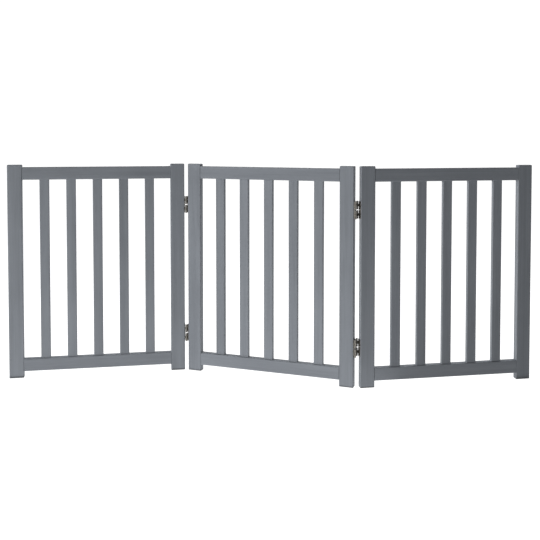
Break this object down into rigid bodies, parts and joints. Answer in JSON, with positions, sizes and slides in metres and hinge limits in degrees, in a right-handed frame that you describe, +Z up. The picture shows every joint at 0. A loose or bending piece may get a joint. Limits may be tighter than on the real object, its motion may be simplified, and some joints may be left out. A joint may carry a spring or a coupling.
{
  "type": "pet gate",
  "caption": "Free-standing folding pet gate of painted wood: slatted panels joined by double-action hinges, standing in a zigzag.",
  "frame": {"origin": "on the floor under the centre of the middle panel, the centre of the base of the whole zigzag", "axes": "+Z up, +X along the gate from the left panel to the right panel, the front faces -Y"},
  "size_m": [1.4858, 0.1986, 0.61],
  "materials": {
    "painted_wood": "satin grey paint over softwood",
    "dowel_wood": "bare beech",
    "hinge_steel": "bright nickel plated",
    "screw_steel": "zinc plated",
    "pin_steel": "nickel plated, peened ends"
  },
  "bodies": {
    "middle_panel": {"left_inner_screws": "screw_steel", "left_lower_hinge_inner_leaf": "hinge_steel", "left_upper_hinge_inner_leaf": "hinge_steel", "middle_bottom_rail": "painted_wood", "middle_dowels": "dowel_wood", "middle_left_post": "painted_wood", "middle_right_post": "painted_wood", "middle_slat_1": "painted_wood", "middle_slat_2": "painted_wood", "middle_slat_3": "painted_wood", "middle_slat_4": "painted_wood", "middle_slat_5": "painted_wood", "middle_top_rail": "painted_wood", "right_inner_screws": "screw_steel", "right_lower_hinge_inner_leaf": "hinge_steel", "right_upper_hinge_inner_leaf": "hinge_steel"},
    "left_links": {"left_back_pins": "pin_steel", "left_front_pins": "pin_steel", "left_lower_hinge_bottom_link": "hinge_steel", "left_lower_hinge_top_link": "hinge_steel", "left_upper_hinge_bottom_link": "hinge_steel", "left_upper_hinge_top_link": "hinge_steel"},
    "left_panel": {"left_bottom_rail": "painted_wood", "left_dowels": "dowel_wood", "left_left_post": "painted_wood", "left_lower_hinge_outer_leaf": "hinge_steel", "left_outer_screws": "screw_steel", "left_right_post": "painted_wood", "left_slat_1": "painted_wood", "left_slat_2": "painted_wood", "left_slat_3": "painted_wood", "left_slat_4": "painted_wood", "left_slat_5": "painted_wood", "left_top_rail": "painted_wood", "left_upper_hinge_outer_leaf": "hinge_steel"},
    "right_links": {"right_back_pins": "pin_steel", "right_front_pins": "pin_steel", "right_lower_hinge_bottom_link": "hinge_steel", "right_lower_hinge_top_link": "hinge_steel", "right_upper_hinge_bottom_link": "hinge_steel", "right_upper_hinge_top_link": "hinge_steel"},
    "right_panel": {"right_bottom_rail": "painted_wood", "right_dowels": "dowel_wood", "right_left_post": "painted_wood", "right_lower_hinge_outer_leaf": "hinge_steel", "right_outer_screws": "screw_steel", "right_right_post": "painted_wood", "right_slat_1": "painted_wood", "right_slat_2": "painted_wood", "right_slat_3": "painted_wood", "right_slat_4": "painted_wood", "right_slat_5": "painted_wood", "right_top_rail": "painted_wood", "right_upper_hinge_outer_leaf": "hinge_steel"}
  },
  "joints": [
    {"name": "left_back_fold", "type": "hinge", "parent": "middle_panel", "child": "left_links", "pos_m": [-0.23597, 0.09653, 0.3], "axis": [0, 0, -1], "range_deg": [0, 90]},
    {"name": "left_front_fold", "type": "hinge", "parent": "left_links", "child": "left_panel", "pos_m": [-0.24281, 0.07773, 0.3], "axis": [0, 0, 1], "range_deg": [-30, 150]},
    {"name": "right_front_fold", "type": "hinge", "parent": "middle_panel", "child": "right_links", "pos_m": [0.23597, -0.09653, 0.3], "axis": [0, 0, -1], "range_deg": [0, 90]},
    {"name": "right_back_fold", "type": "hinge", "parent": "right_links", "child": "right_panel", "pos_m": [0.24281, -0.07773, 0.3], "axis": [0, 0, 1], "range_deg": [-30, 150]}
  ]
}
